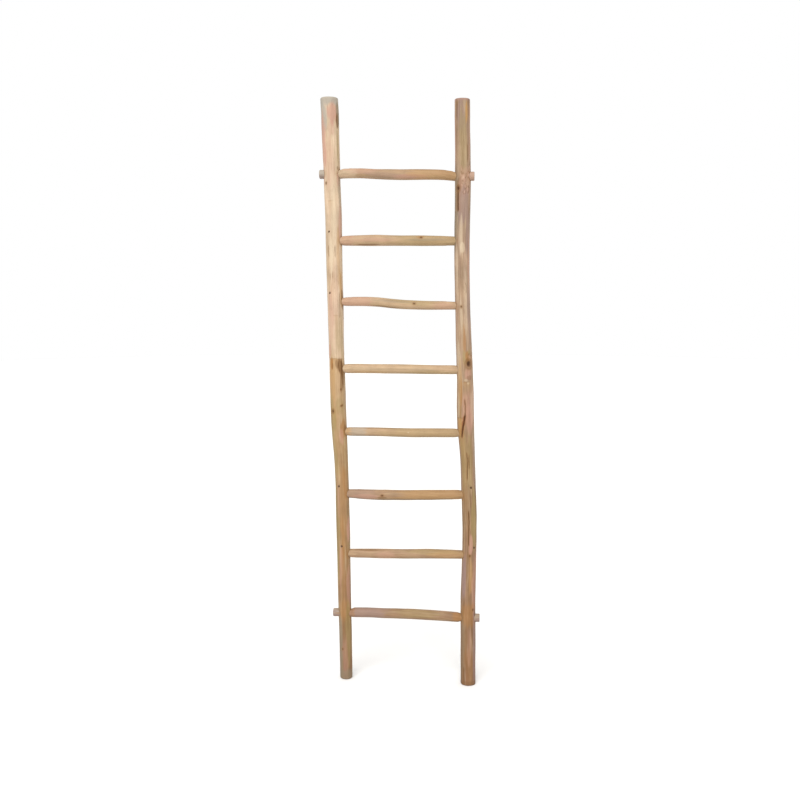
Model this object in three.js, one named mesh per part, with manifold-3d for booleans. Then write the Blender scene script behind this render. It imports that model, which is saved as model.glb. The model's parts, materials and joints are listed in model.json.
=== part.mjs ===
// Ladder shelf: two peeled poles and eight round rungs, tenoned into the poles and nailed.
// Millimetres, +Z up, +X to the right, and the front looks along -Y. The feet stand on z = 0,
// and the origin is under the middle of the ladder's box.
import * as THREE from 'three';
import { mergeVertices } from 'three/addons/utils/BufferGeometryUtils.js';
import Module from 'manifold-3d';

const wasm = await Module();
wasm.setup();

// Clearance between pieces that touch.
const GAP = 0.35;

// Each rail is a grown pole: [height, x, y, radius] of its axis, from the foot to the cut top.
const LEFT_RAIL = [
  [0, -189.6, 5.5, 20.6],
  [60, -189.8, 5.6, 21],
  [150, -190.9, 5.5, 21.4],
  [280, -193.7, 4.7, 21.7],
  [420, -195.1, 3.5, 22.4],
  [520, -196.4, 2.4, 23.1],
  [600, -197.7, 1.4, 23.1],
  [700, -198.9, 0, 22.7],
  [790, -202.3, -1.5, 23.9],
  [860, -206.2, -2.5, 25.7],
  [940, -208.8, -3.4, 26.1],
  [1040, -210.9, -4, 26.5],
  [1130, -213.4, -3.8, 25.6],
  [1240, -215, -3, 26.1],
  [1360, -217.4, -1.7, 26.5],
  [1490, -219.9, 0, 26.6],
  [1580, -220.9, 1.1, 26.9],
  [1660, -223.6, 2, 26.7],
  [1740, -225.6, 2.8, 27.1],
  [1800, -227.6, 3.2, 27.6],
  [1880, -229.7, 3.6, 28.4],
  [1943.1, -232.2, 3.8, 28.1],
];
const RIGHT_RAIL = [
  [0, 230.3, -5.6, 24.8],
  [60, 229.6, -4.8, 24.8],
  [140, 229.4, -3.4, 25],
  [280, 227.8, -1, 24.8],
  [420, 229.8, 0.9, 24],
  [520, 230.4, 2, 23.7],
  [620, 228.6, 2.9, 24.8],
  [690, 225.2, 3, 24.6],
  [760, 222.9, 2.2, 24.4],
  [830, 218.5, 1, 26.4],
  [900, 213.9, 0, 28.8],
  [970, 213, -0.8, 28.2],
  [1040, 211.3, -1.5, 27],
  [1100, 208.9, -2.3, 26.7],
  [1180, 205.5, -3, 25.4],
  [1300, 201.5, -2.9, 24.9],
  [1430, 198.4, -2, 24.8],
  [1540, 198.6, -0.4, 24.9],
  [1660, 199.3, 1.5, 25.4],
  [1760, 198.6, 2.2, 24.6],
  [1850, 196.4, 2.9, 24],
  [1932, 195.7, 3.5, 23.7],
];
const RAIL_SIDES = 16;
const RAIL_BAND = 56; // the tallest band between two rings
const FOOT_BEVEL = 3;
const TOP_BEVEL = 5;
const OUT_OF_ROUND = 0.015; // how far the section leaves a circle, as a part of its radius
const TWIST_LENGTH = 320; // the height over which the out-of-round section turns by a radian

// The rungs, from the top down. rise is how far the axis stands above height: in the left
// tenon, at the five stations of the body, and in the right tenon. radius is the body's, at
// its stations. A through rung's tenons come out at the far side of the rails. nails gives
// each rail's nail: the face it is driven from, and how far outboard of the rail's axis.
const FRONT = -1;
const BACK = 1;
const STATIONS = [0.05, 0.27, 0.5, 0.73, 0.95]; // parts of the length between the rails
const RUNGS = [
  {
    height: 1699, tenon: 14.4, through: true, bow: -1.5,
    rise: [3.2, 6, 2.8, -0.7, -1.3, -4.3, -8],
    radius: [15.9, 15.5, 16.8, 16.5, 15.7],
    nails: { left: [BACK, 6], right: [BACK, 9] },
  },
  {
    height: 1489, tenon: 14.6, through: false, bow: 1,
    rise: [0, 0.1, 0.9, -0.4, -1, -2.2, -2.6],
    radius: [16.2, 18.2, 17, 17, 15.2],
    nails: { left: [FRONT, 12], right: [BACK, 8] },
  },
  {
    height: 1285, tenon: 13, through: false, bow: -2.5,
    rise: [6.4, 6.9, 6.2, -1.5, -5, -5.7, -5.9],
    radius: [14.5, 15.4, 15.3, 14.6, 13.4],
    nails: { left: [FRONT, 14], right: [BACK, 5] },
  },
  {
    height: 1070, tenon: 14.3, through: false, bow: 1.5,
    rise: [1, 1.3, 1.4, 1, -0.1, -0.3, -0.4],
    radius: [15.8, 15.5, 15.6, 15.5, 15.2],
    nails: { left: [BACK, 10], right: [BACK, 7] },
  },
  {
    height: 860, tenon: 13.4, through: false, bow: -1,
    rise: [0.3, 0.4, 0.4, -1, -0.6, -0.1, 0],
    radius: [14.7, 14.5, 14.8, 15, 14.9],
    nails: { left: [BACK, 4], right: [BACK, 9] },
  },
  {
    height: 648, tenon: 14.4, through: false, bow: 2,
    rise: [0.5, 0.2, -2.5, -1.5, 0.8, 3.4, 3.7],
    radius: [15.2, 17.6, 17, 16.8, 16],
    nails: { left: [FRONT, 8], right: [FRONT, 9] },
  },
  {
    height: 446, tenon: 14.2, through: false, bow: -1,
    rise: [-3.8, -3.8, -2.6, -1.2, 1.3, 1.7, 1.7],
    radius: [15, 16.4, 15.9, 16.2, 14.9],
    nails: { left: [FRONT, 3], right: [FRONT, 16] },
  },
  {
    height: 235, tenon: 13.8, through: true, bow: 1.5,
    rise: [-3, -0.4, -1, -0.4, -1.4, -4, -4.5],
    radius: [16.6, 16.8, 17, 17.1, 16.5],
    nails: { left: [BACK, 7], right: [BACK, 6] },
  },
];
const RUNG_SIDES = 12;
const RUNG_BANDS = 7; // bands of a rung's body between its two tapers
const TAPER = 12; // the length over which the body comes down to its tenon
const TENON_BEVEL = 2;
const BLIND_REACH = 11; // a blind tenon ends this far past the rail's axis
const STUB_REACHES = [265.3, 236.3, 232.5, 267.1]; // x of the stubs: top left, right, bottom left, right
const SOCKET_MARGIN = 22; // no ring of a rail comes nearer than this to a socket's axis
const CUT_PAST = 5; // how far a cutter runs out past the surface it cuts through

// A wire nail, driven slanting down through the rail and the tenon.
const NAIL_LENGTH = 60;
const NAIL_RADIUS = 1.5;
const NAIL_POINT = 4;
const NAIL_RISE = 29; // the head stands this far above the rung's axis
const NAIL_SIDES = 6;
const HEAD_RADIUS = 3.2;
const HEAD_THICKNESS = 1.3;
const HEAD_SINK = 0.6; // how far the head is driven below the surface

const WOOD_ROUGHNESS = 0.72;
const LEFT_COLOUR = '#c7a27a';
const RIGHT_COLOUR = '#bd956c';
const RUNG_COLOUR = '#c69f70';
const NAIL_COLOUR = '#6a6258';

// A smooth curve through rows of [position, ...values].
function curveThrough(rows) {
  const positions = rows.map((row) => row[0]);
  const values = rows.flatMap((row) => row.slice(1));
  const curve = new THREE.CubicInterpolant(positions, values, rows[0].length - 1);
  return (position) => [...curve.evaluate(position)];
}

// A closed stick: each ring is joined to the next, and the end rings are capped flat.
// Rings run along the stick, and turn anticlockwise as seen from its far end.
function loft(rings) {
  const sides = rings[0].length;
  const last = (rings.length - 1) * sides;
  const index = [];
  for (let ring = 0; ring < last; ring += sides) {
    for (let j = 0; j < sides; j++) {
      const a = ring + j;
      const b = ring + ((j + 1) % sides);
      index.push(a, b, b + sides, a, b + sides, a + sides);
    }
  }
  for (let j = 1; j < sides - 1; j++) {
    index.push(0, j + 1, j);
    index.push(last, last + j, last + j + 1);
  }
  const geometry = new THREE.BufferGeometry().setFromPoints(rings.flat());
  geometry.setIndex(index);
  return geometry;
}

// The manifold solid of a closed geometry.
function solidOf(geometry) {
  const bare = geometry.clone();
  bare.deleteAttribute('normal');
  bare.deleteAttribute('uv');
  const merged = mergeVertices(bare);
  const vertProperties = new Float32Array(merged.attributes.position.array);
  const triVerts = new Uint32Array(merged.index.array);
  return new wasm.Manifold(new wasm.Mesh({ numProp: 3, vertProperties, triVerts }));
}

// A geometry with all the cutters taken out of it.
function cut(geometry, cutters) {
  const left = cutters.reduce((rest, cutter) => rest.subtract(solidOf(cutter)), solidOf(geometry));
  const { vertProperties, triVerts } = left.getMesh();
  const result = new THREE.BufferGeometry();
  result.setAttribute('position', new THREE.BufferAttribute(vertProperties, 3));
  result.setIndex(new THREE.BufferAttribute(triVerts, 1));
  result.computeVertexNormals();
  return result;
}

function woodMesh(name, geometry, color) {
  const material = new THREE.MeshStandardMaterial({ color, roughness: WOOD_ROUGHNESS, metalness: 0 });
  const mesh = new THREE.Mesh(geometry, material);
  mesh.name = name;
  return mesh;
}

// Heights of a rail's rings: even bands between the sockets, and no ring near a socket.
function ringHeights(top, socketHeights) {
  const ends = socketHeights.flatMap((z) => [z - SOCKET_MARGIN, z + SOCKET_MARGIN]);
  const stops = [FOOT_BEVEL, ...ends, top - TOP_BEVEL].sort((a, b) => a - b);
  const heights = [];
  for (let i = 0; i < stops.length; i += 2) {
    const bands = Math.ceil((stops[i + 1] - stops[i]) / RAIL_BAND);
    for (let k = 0; k <= bands; k++) {
      heights.push(THREE.MathUtils.lerp(stops[i], stops[i + 1], k / bands));
    }
  }
  return heights;
}

// A rail's ring: a circle drawn in by inset, then stretched into a slowly turning oval.
function railRing(axis, z, inset) {
  const [x, y, radius] = axis(z);
  const ring = [];
  for (let j = 0; j < RAIL_SIDES; j++) {
    const angle = (2 * Math.PI * j) / RAIL_SIDES;
    const reach = (radius - inset) * (1 + OUT_OF_ROUND * Math.cos(2 * angle + z / TWIST_LENGTH));
    ring.push(new THREE.Vector3(x + reach * Math.cos(angle), y + reach * Math.sin(angle), z));
  }
  return ring;
}

// side is -1 for the left rail and 1 for the right one.
function makeRail(name, side, rows, color) {
  const top = rows.at(-1)[0];
  const axis = curveThrough(rows);
  const tenonRise = side < 0 ? 0 : -1;
  const sockets = RUNGS.map((rung) => rung.height + rung.rise.at(tenonRise));
  const rings = ringHeights(top, sockets).map((z) => railRing(axis, z, 0));
  const geometry = loft([railRing(axis, 0, FOOT_BEVEL), ...rings, railRing(axis, top, TOP_BEVEL)]);
  return { name, side, axis, sockets, geometry, color };
}

const rails = {
  left: makeRail('rail_left', -1, LEFT_RAIL, LEFT_COLOUR),
  right: makeRail('rail_right', 1, RIGHT_RAIL, RIGHT_COLOUR),
};

// One end of a rung: its tenon's axis, where it ends, and the mouth where the body starts.
function rungEnd(rung, rail, stubReach) {
  const z = rail.sockets[RUNGS.indexOf(rung)];
  const [x, y, radius] = rail.axis(z);
  const end = rung.through ? rail.side * stubReach : x + rail.side * BLIND_REACH;
  const mouth = x - rail.side * (radius * (1 + OUT_OF_ROUND) + 2 * GAP);
  return { x, y, z, end, mouth };
}

function rungRing(x, y, z, radius) {
  const ring = [];
  for (let j = 0; j < RUNG_SIDES; j++) {
    const angle = (2 * Math.PI * j) / RUNG_SIDES;
    ring.push(new THREE.Vector3(x, y + radius * Math.cos(angle), z + radius * Math.sin(angle)));
  }
  return ring;
}

// A rung from one tenon's end to the other's: the body swells out of each tenon over TAPER,
// as a quarter of a sine wave, and its axis follows the stations and bows out in y.
function rungGeometry(rung, left, right) {
  const length = right.mouth - left.mouth;
  const stations = STATIONS.map((part, i) => [
    left.mouth + part * length,
    rung.height + rung.rise[i + 1],
    rung.radius[i],
  ]);
  const body = curveThrough([
    [left.mouth, left.z, rung.radius.at(0)],
    ...stations,
    [right.mouth, right.z, rung.radius.at(-1)],
  ]);
  const bodyRing = (distance) => {
    const part = distance / length;
    const [z, radius] = body(left.mouth + distance);
    const y = THREE.MathUtils.lerp(left.y, right.y, part) + rung.bow * Math.sin(Math.PI * part);
    const swell = Math.sin((Math.PI / 2) * Math.min(1, distance / TAPER, (length - distance) / TAPER));
    return rungRing(left.mouth + distance, y, z, rung.tenon + (radius - rung.tenon) * swell);
  };
  const distances = [0, TAPER / 4];
  for (let k = 0; k <= RUNG_BANDS; k++) {
    distances.push(THREE.MathUtils.lerp(TAPER, length - TAPER, k / RUNG_BANDS));
  }
  distances.push(length - TAPER / 4, length);
  return loft([
    rungRing(left.end, left.y, left.z, rung.tenon - TENON_BEVEL),
    rungRing(left.end + TENON_BEVEL, left.y, left.z, rung.tenon),
    ...distances.map(bodyRing),
    rungRing(right.end - TENON_BEVEL, right.y, right.z, rung.tenon),
    rungRing(right.end, right.y, right.z, rung.tenon - TENON_BEVEL),
  ]);
}

// The socket that a tenon sits in: a cylinder along x, wider by GAP, and past its end by GAP.
function socketCutter(rung, rail, end) {
  const outer = end.end + rail.side * (rung.through ? CUT_PAST : GAP);
  const inner = end.mouth - rail.side * CUT_PAST;
  const radius = rung.tenon + GAP / Math.cos(Math.PI / RUNG_SIDES);
  const cutter = new THREE.CylinderGeometry(radius, radius, Math.abs(outer - inner), RUNG_SIDES);
  cutter.rotateZ(Math.PI / 2);
  cutter.translate((outer + inner) / 2, end.y, end.z);
  return cutter;
}

// A nail along y, its head at the top: grown by clearance, with the head carried up by lift.
function nailGeometry(clearance, lift) {
  const shank = NAIL_RADIUS + clearance;
  const head = HEAD_RADIUS + clearance;
  const outline = [
    [0, -NAIL_LENGTH - clearance],
    [shank, NAIL_POINT - NAIL_LENGTH - clearance],
    [shank, -HEAD_THICKNESS - clearance],
    [head, -HEAD_THICKNESS - clearance],
    [head, lift],
    [0, lift],
  ];
  return new THREE.LatheGeometry(outline.map(([r, y]) => new THREE.Vector2(r, y)), NAIL_SIDES);
}

// Where a nail goes: its head on the rail's surface, pointing at the tenon's axis.
function nailPlace(rail, end, [face, lean]) {
  const height = end.z + NAIL_RISE;
  const [x, y, radius] = rail.axis(height);
  const depth = Math.sqrt(radius ** 2 - lean ** 2);
  const surface = new THREE.Vector3(x + rail.side * lean, y + face * depth, height);
  const back = surface.clone().sub(new THREE.Vector3(end.x, end.y, end.z)).normalize();
  const place = new THREE.Object3D();
  place.position.copy(surface).addScaledVector(back, -HEAD_SINK);
  place.quaternion.setFromUnitVectors(new THREE.Vector3(0, 1, 0), back);
  place.updateMatrix();
  return place;
}

const ladder = new THREE.Group();
const railCutters = { left: [], right: [] };

RUNGS.forEach((rung, i) => {
  const number = i + 1;
  const stubs = i === 0 ? STUB_REACHES.slice(0, 2) : STUB_REACHES.slice(2);
  const ends = {
    left: rungEnd(rung, rails.left, stubs[0]),
    right: rungEnd(rung, rails.right, stubs[1]),
  };
  const rungCutters = [];
  for (const [key, rail] of Object.entries(rails)) {
    const place = nailPlace(rail, ends[key], rung.nails[key]);
    const nailHole = nailGeometry(GAP, 2 * CUT_PAST).applyMatrix4(place.matrix);
    railCutters[key].push(socketCutter(rung, rail, ends[key]), nailHole);
    rungCutters.push(nailHole);
    const steel = new THREE.MeshStandardMaterial({ color: NAIL_COLOUR, roughness: 0.5, metalness: 0.8 });
    const nail = new THREE.Mesh(nailGeometry(0, 0), steel);
    nail.name = `nail_${key}_${number}`;
    nail.position.copy(place.position);
    nail.quaternion.copy(place.quaternion);
    ladder.add(nail);
  }
  const geometry = cut(rungGeometry(rung, ends.left, ends.right), rungCutters);
  ladder.add(woodMesh(`rung_${number}`, geometry, RUNG_COLOUR));
});
for (const [key, rail] of Object.entries(rails)) {
  ladder.add(woodMesh(rail.name, cut(rail.geometry, railCutters[key]), rail.color));
}

// The origin goes under the middle of the box.
const middle = new THREE.Box3().setFromObject(ladder, true).getCenter(new THREE.Vector3());
ladder.position.set(-middle.x, -middle.y, 0);

export default ladder;
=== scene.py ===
"""Looks of a ladder shelf: two grown teak poles and eight round rungs, tenoned and nailed.

The CAD frame says where every stick runs and how thick it is. Each stick's section rings are
read off its CAD node, and a fine skin is worked out round them, with the knots, clefts, steps
and knife work of peeled branch wood, and the sockets and nail holes are cut into it.
"""

import json
import math

import bpy
import numpy as np
from bpy.props import FloatProperty, FloatVectorProperty, PointerProperty
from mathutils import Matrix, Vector


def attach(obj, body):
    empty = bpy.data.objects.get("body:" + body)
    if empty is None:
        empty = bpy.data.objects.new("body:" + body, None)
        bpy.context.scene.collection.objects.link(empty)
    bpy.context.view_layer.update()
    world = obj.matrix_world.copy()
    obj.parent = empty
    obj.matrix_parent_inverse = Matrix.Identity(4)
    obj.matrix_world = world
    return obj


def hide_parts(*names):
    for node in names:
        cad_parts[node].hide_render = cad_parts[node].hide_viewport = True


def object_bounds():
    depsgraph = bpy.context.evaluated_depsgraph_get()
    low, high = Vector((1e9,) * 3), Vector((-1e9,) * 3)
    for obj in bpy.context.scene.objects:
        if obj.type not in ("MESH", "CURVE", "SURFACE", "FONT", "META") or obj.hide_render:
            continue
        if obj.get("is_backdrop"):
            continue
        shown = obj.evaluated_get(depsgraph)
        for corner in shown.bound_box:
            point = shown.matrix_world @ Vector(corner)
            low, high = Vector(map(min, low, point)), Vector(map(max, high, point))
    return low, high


bl_info = {
    "name": "Ladder shelf",
    "version": (1, 0, 0),
    "blender": (4, 5, 0),
    "location": "3D View > Sidebar > Ladder",
    "description": "Builds the peeled poles, rungs and nails of a ladder shelf round its CAD frame",
    "category": "Add Mesh",
}

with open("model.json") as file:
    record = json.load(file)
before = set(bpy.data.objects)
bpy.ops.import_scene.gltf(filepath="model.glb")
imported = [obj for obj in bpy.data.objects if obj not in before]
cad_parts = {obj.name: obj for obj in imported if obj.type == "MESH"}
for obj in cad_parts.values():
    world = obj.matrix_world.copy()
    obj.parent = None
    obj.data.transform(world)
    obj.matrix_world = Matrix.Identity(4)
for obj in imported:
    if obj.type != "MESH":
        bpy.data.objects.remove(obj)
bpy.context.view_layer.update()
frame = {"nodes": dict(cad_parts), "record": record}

MM = 0.001
ALONG_X, ALONG_Z = 0, 2  # the axes that rungs and rails run along
RUNGS = range(1, 9)
RAIL_SIDES = 16  # corners of a rail's section ring in the frame
RUNG_SIDES = 12  # corners of a rung's section ring in the frame
RING_GAP = 0.05 * MM  # corners nearer than this along a stick belong to one ring
RAIL_SKIN = (92, 2.05 * MM)  # points round a rail's skin, and the way from row to row
RUNG_SKIN = (60, 1.7 * MM)
SOCKET_SLACK = 0.7 * MM  # how much wider a socket's mouth is than its tenon
NAIL_SLACK = 0.35 * MM
NAIL_SIDES = 24
HEAD_SEAT = 1.6 * MM  # how far below its top a nail's head meets the wire
SHOULDER_CUTS = 7  # whittled facets round a rung's shoulder
END_FACING, END_DEPTH = 0.9, 2 * MM  # end grain looks this much along the stick, this near its end
SHARP = math.radians(50)  # an edge that turns by more than this isn't shaded smooth
WOOD_IOR = 1.53  # that of wood's cell walls

# Stains of the wood, as colours.
ROSE = "#ad8271"  # pink sapwood just under the bark
MAUVE = "#826b65"  # grey-purple, where bark was last peeled
RUST = "#926739"  # orange-brown, by knots and joints
GOLD = "#a37d4c"  # heartwood showing through
OLIVE = "#8c7a4e"  # yellow-green sapwood
CREAM = "#c5b398"  # freshly cut wood
ASH = "#9a9387"  # bleached grey by the weather
SLATE = "#756956"  # grey-brown, weathered longer
# BROWN is also painted shade: in the dark line round each socket's tenon and below rung 4's left socket.
BROWN = "#694a28"  # damp and dirt in the grain
BURNT = "#7a4126"  # red-brown, along the big cleft
# Partly painted shade: this nearly black colour in open knots, clefts and the pocket by rung 4's left
# socket stands for the shade of their hollows as well as dark wood.
DARK_WOOD_AND_SHADE = "#3b1e0b"  # open knots and clefts
ROUND = 1e4  # a half width that takes a stain all the way round

# Marks on the rails. Heights are in mm above the floor, and faces in degrees round the pole
# from the front, positive towards the right hand. Sizes are in mm.
# Knots: height, face, size, rise of the collar.
LEFT_KNOTS = [
    (1672, -38, 3.6, 0.5), (1004, 32, 3.2, 0.4), (949, 30, 3, 0.4), (951, 39, 3, 0.4), (931, -34, 6, 0.8),
    (109, -22, 3, 0.4), (1782, 150, 9, 2.2), (1210, 205, 7, 1.4), (770, 165, 8, 1.8), (345, 190, 6, 1.0),
]
RIGHT_KNOTS = [
    (1651, -33, 7.5, 1.6), (1276, -10, 3.5, 0.4), (1091, 31, 12, 3.0), (450, 6, 3.6, 0.5),
    (264, 41, 4, 0.6), (1420, 170, 8, 1.8), (905, 200, 9, 2.0), (560, 140, 6, 1.2),
]
# Lumps of overgrown wood, like petals: height, face, half height, half width, rise.
RIGHT_LUMPS = [
    (1712, -10, 10, 2.2, 0.5), (1713, 60, 12, 4, 1.4), (1692, 44, 9, 4.5, 1.3), (1697, 84, 12, 4, 1.5),
    (1684, 6, 11, 8, 1.3), (1662, -6, 6, 3, 0.8), (1657, 20, 8, 3.5, 1.0), (1648, 44, 9, 4, 0.8),
    (1640, 14, 6, 4, 0.6), (1113, 40, 10, 6, 0.9),
]
# Clefts and drying cracks: points (height, face), half width, depth.
LEFT_CLEFTS = [
    ([(1888, 64), (1868, 58), (1846, 63)], 1.8, 1.6), ([(1472, -31), (1455, -33), (1438, -32)], 0.9, 1.2),
    ([(1472, 17), (1455, 16), (1436, 17)], 0.9, 1.2), ([(1382, -24), (1364, -24)], 0.8, 0.8),
    ([(1388, -6), (1368, -5)], 0.8, 0.8), ([(1322, 42), (1290, 44), (1240, 40)], 0.9, 0.9),
    ([(1106, 26), (1082, 23), (1058, 30)], 1.3, 1.4), ([(1100, 46), (1060, 44), (1020, 50)], 1.5, 1.4),
    ([(1700, 168), (1560, 175), (1450, 171)], 1.2, 2.6), ([(640, 205), (520, 198), (410, 203)], 1.1, 2.2),
]
RIGHT_CLEFTS = [
    ([(1788, 40), (1760, 43), (1736, 41)], 1.0, 1.6), ([(1644, -35), (1615, -37), (1580, -35)], 3.0, 3.0),
    ([(974, -3), (945, 2), (915, -2)], 1.3, 2.2),
    ([(922, 0), (897, -11), (880, -20), (848, -36)], 2.8, 5.0),
    ([(1352, 28), (1335, 34), (1318, 30)], 0.8, 0.8),
    ([(798, -4), (765, 2), (735, -4), (708, -6)], 1.3, 1.8),
    ([(790, 14), (766, 12), (744, 16)], 1.0, 1.2),
    ([(600, -4), (566, -2), (525, -5), (484, -4)], 1.3, 2.6),
    ([(62, -36), (36, -37), (8, -35)], 1.3, 2.2), ([(1330, 188), (1190, 196), (1060, 190)], 1.4, 3.0),
]
# Ring steps where a layer of wood ends: height, middle face, half width, drop below it, fade.
LEFT_STEPS = [
    (1107, -15, 34, 1.0, 60), (1618, -8, 9, 0.4, 14), (1250, 8, 8, 0.3, 12),
]
RIGHT_STEPS = [
    (1034, 14, 12, 0.8, 8), (915, -40, 13, 1.4, 50),
]
# Flats left by the drawknife: height, face, half height, depth of the cut.
LEFT_FLATS = [
    (1895, 40, 40, 1.8), (1560, -30, 90, 0.8), (1300, 40, 100, 0.8), (600, -30, 120, 0.7),
    (250, 40, 100, 0.7), (1000, 150, 140, 1.3), (1500, 200, 160, 1.2),
]
RIGHT_FLATS = [
    (1850, 20, 70, 0.8), (1380, -20, 100, 0.7), (1012, 24, 30, 1.2), (600, 40, 110, 0.8),
    (330, -10, 90, 0.8), (1200, 160, 160, 1.3), (700, 210, 140, 1.2),
]
# Stains: colour, height, face, half height, half width, strength.
LEFT_STAINS = [
    (ASH, 1948, 0, 30, ROUND, 0.85), (ASH, 1880, -58, 56, 20, 0.85), (ROSE, 1893, 26, 34, 15, 0.75),
    (SLATE, 1890, 74, 44, 8, 0.75), (BROWN, 1866, 62, 22, 5, 0.6), (ROSE, 1845, 16, 22, 12, 0.35),
    (ROSE, 1800, -52, 84, 14, 0.75), (OLIVE, 1790, 62, 60, 4, 0.6), (ROSE, 1740, -6, 80, 16, 0.3),
    (BROWN, 1720, 54, 6, 3, 0.6), (ROSE, 1684, 62, 24, 8, 0.5), (SLATE, 1650, 68, 70, 7, 0.45),
    (ROSE, 1684, -64, 24, 6, 0.4), (ROSE, 1545, 64, 55, 8, 0.6), (CREAM, 1560, 10, 150, 8, 0.4),
    (GOLD, 1430, 40, 100, 6, 0.4), (CREAM, 1440, -14, 70, 6, 0.6), (GOLD, 1340, 60, 60, 6, 0.7),
    (BROWN, 1300, 68, 34, 6, 0.6), (ROSE, 1230, -30, 90, 10, 0.3), (ROSE, 1290, 4, 110, 14, 0.2),
    (MAUVE, 1180, -74, 70, 5, 0.5), (OLIVE, 1190, 36, 70, 13, 0.3), (ROSE, 1130, -52, 22, 9, 0.55),
    (GOLD, 1010, -30, 110, 12, 0.4), (RUST, 1088, -32, 20, 6, 0.95), (BROWN, 1080, -24, 10, 2.5, 0.5),
    # Painted shade by rung 4's left socket: the nearly black pocket at face 48 and the brown below it at
    # face 46 stand for the shade of the socket's hollow.
    (BROWN, 1089, 10, 18, 6, 0.55), (BROWN, 1083, 34, 24, 12, 0.75), (DARK_WOOD_AND_SHADE, 1074, 48, 30, 5, 0.65),
    (BROWN, 1040, 46, 50, 9, 0.6), (OLIVE, 915, -48, 70, 18, 0.6), (BROWN, 920, -62, 50, 8, 0.35),
    (OLIVE, 950, 20, 30, 16, 0.4), (RUST, 872, 42, 32, 13, 0.7), (BROWN, 868, 58, 18, 6, 0.5),
    (ROSE, 846, 20, 26, 9, 0.4), (OLIVE, 770, -45, 110, 14, 0.5), (RUST, 700, 36, 54, 8, 0.5),
    (OLIVE, 520, -62, 180, 14, 0.7), (BROWN, 560, -58, 150, 10, 0.25), (RUST, 590, 14, 170, 12, 0.25),
    (ROSE, 527, 60, 40, 9, 0.7), (ROSE, 640, -30, 70, 6, 0.3), (RUST, 470, 4, 90, 7, 0.3),
    (ROSE, 400, -18, 80, 7, 0.35), (BROWN, 380, 40, 120, 9, 0.1), (RUST, 390, 4, 120, 8, 0.25),
    (ROSE, 330, 52, 70, 8, 0.45), (RUST, 247, 8, 34, 20, 0.45), (OLIVE, 160, 40, 100, 12, 0.55),
    (SLATE, 120, -60, 140, 14, 0.7), (ROSE, 80, 4, 80, 9, 0.4), (BROWN, 110, 20, 120, 14, 0.3),
    (SLATE, 10, 0, 24, ROUND, 0.6),
]
RIGHT_STAINS = [
    (ROSE, 1936, 0, 12, ROUND, 0.5), (MAUVE, 1936, 0, 12, ROUND, 0.5),
    (BROWN, 1896, -44, 30, 3.5, 0.9), (BROWN, 1905, 56, 30, 3, 0.5), (GOLD, 1888, 36, 36, 4.5, 0.85),
    (MAUVE, 1880, -10, 46, 14, 0.5), (ROSE, 1800, -72, 120, 5, 0.5), (ROSE, 1830, 66, 90, 4, 0.5),
    (OLIVE, 1790, 4, 100, 14, 0.4), (SLATE, 1670, -56, 60, 13, 0.4), (BROWN, 1664, -28, 22, 8, 0.5),
    (ROSE, 1668, 20, 46, 20, 0.3), (MAUVE, 1600, 0, 56, 24, 0.6), (BROWN, 1612, -38, 36, 5, 0.5),
    (DARK_WOOD_AND_SHADE, 1655, -34, 8, 5, 0.5), (DARK_WOOD_AND_SHADE, 1650, 52, 10, 3, 0.4), (SLATE, 1560, -60, 120, 12, 0.65),
    (MAUVE, 1510, 52, 70, 10, 0.5), (CREAM, 1508, -8, 56, 5, 0.4), (CREAM, 1466, 4, 16, 7, 0.5),
    (ROSE, 1400, 66, 100, 7, 0.5), (CREAM, 1400, -40, 90, 6, 0.3), (CREAM, 1300, 30, 120, 5, 0.3),
    (CREAM, 1250, -12, 60, 4, 0.35), (MAUVE, 1260, 52, 90, 9, 0.5), (RUST, 1166, 8, 46, 5, 0.6),
    (OLIVE, 1110, 10, 24, 8, 0.6), (RUST, 1114, 24, 20, 9, 0.75), (BROWN, 1100, 18, 12, 5, 0.55),
    (OLIVE, 1128, 40, 10, 6, 0.5), (CREAM, 1100, -40, 60, 8, 0.4), (ROSE, 1058, 24, 20, 11, 0.5),
    (BROWN, 1046, 30, 8, 8, 0.4), (CREAM, 1038, 8, 4, 6, 0.35), (CREAM, 1028, 24, 4, 5, 0.3),
    (GOLD, 1010, -34, 100, 8, 0.45), (RUST, 990, -24, 60, 3.5, 0.6), (CREAM, 950, -48, 40, 5, 0.3),
    (ROSE, 950, 2, 60, 14, 0.4), (ROSE, 950, 56, 70, 12, 0.5), (CREAM, 960, 54, 60, 9, 0.3),
    (CREAM, 800, 62, 90, 7, 0.25), (ROSE, 915, 24, 50, 13, 0.45), (BURNT, 905, -7, 16, 4, 0.8),
    (BURNT, 886, -17, 14, 4.5, 0.8), (BURNT, 862, -29, 18, 5, 0.8), (GOLD, 878, -40, 30, 6, 0.6),
    (OLIVE, 770, -10, 90, 30, 0.35), (MAUVE, 760, -72, 90, 7, 0.6), (MAUVE, 770, 64, 110, 7, 0.4),
    (OLIVE, 560, 44, 110, 10, 0.6), (ROSE, 484, 14, 30, 7, 0.6), (MAUVE, 370, -44, 90, 10, 0.8),
    (GOLD, 385, 17, 60, 8, 0.45), (BROWN, 400, -14, 70, 3, 0.35), (ROSE, 360, 58, 110, 12, 0.4),
    (RUST, 247, 0, 34, ROUND, 0.45), (RUST, 244, -52, 18, 8, 0.7), (DARK_WOOD_AND_SHADE, 246, 64, 20, 4, 0.6),
    (SLATE, 140, -62, 150, 12, 0.4), (BROWN, 140, -56, 150, 12, 0.3), (RUST, 70, 6, 66, 15, 0.3),
    (BROWN, 130, 10, 110, 18, 0.2), (ROSE, 130, 12, 60, 9, 0.25), (MAUVE, 130, 64, 140, 9, 0.55),
    (BROWN, 6, 0, 10, ROUND, 0.4),
]
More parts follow.
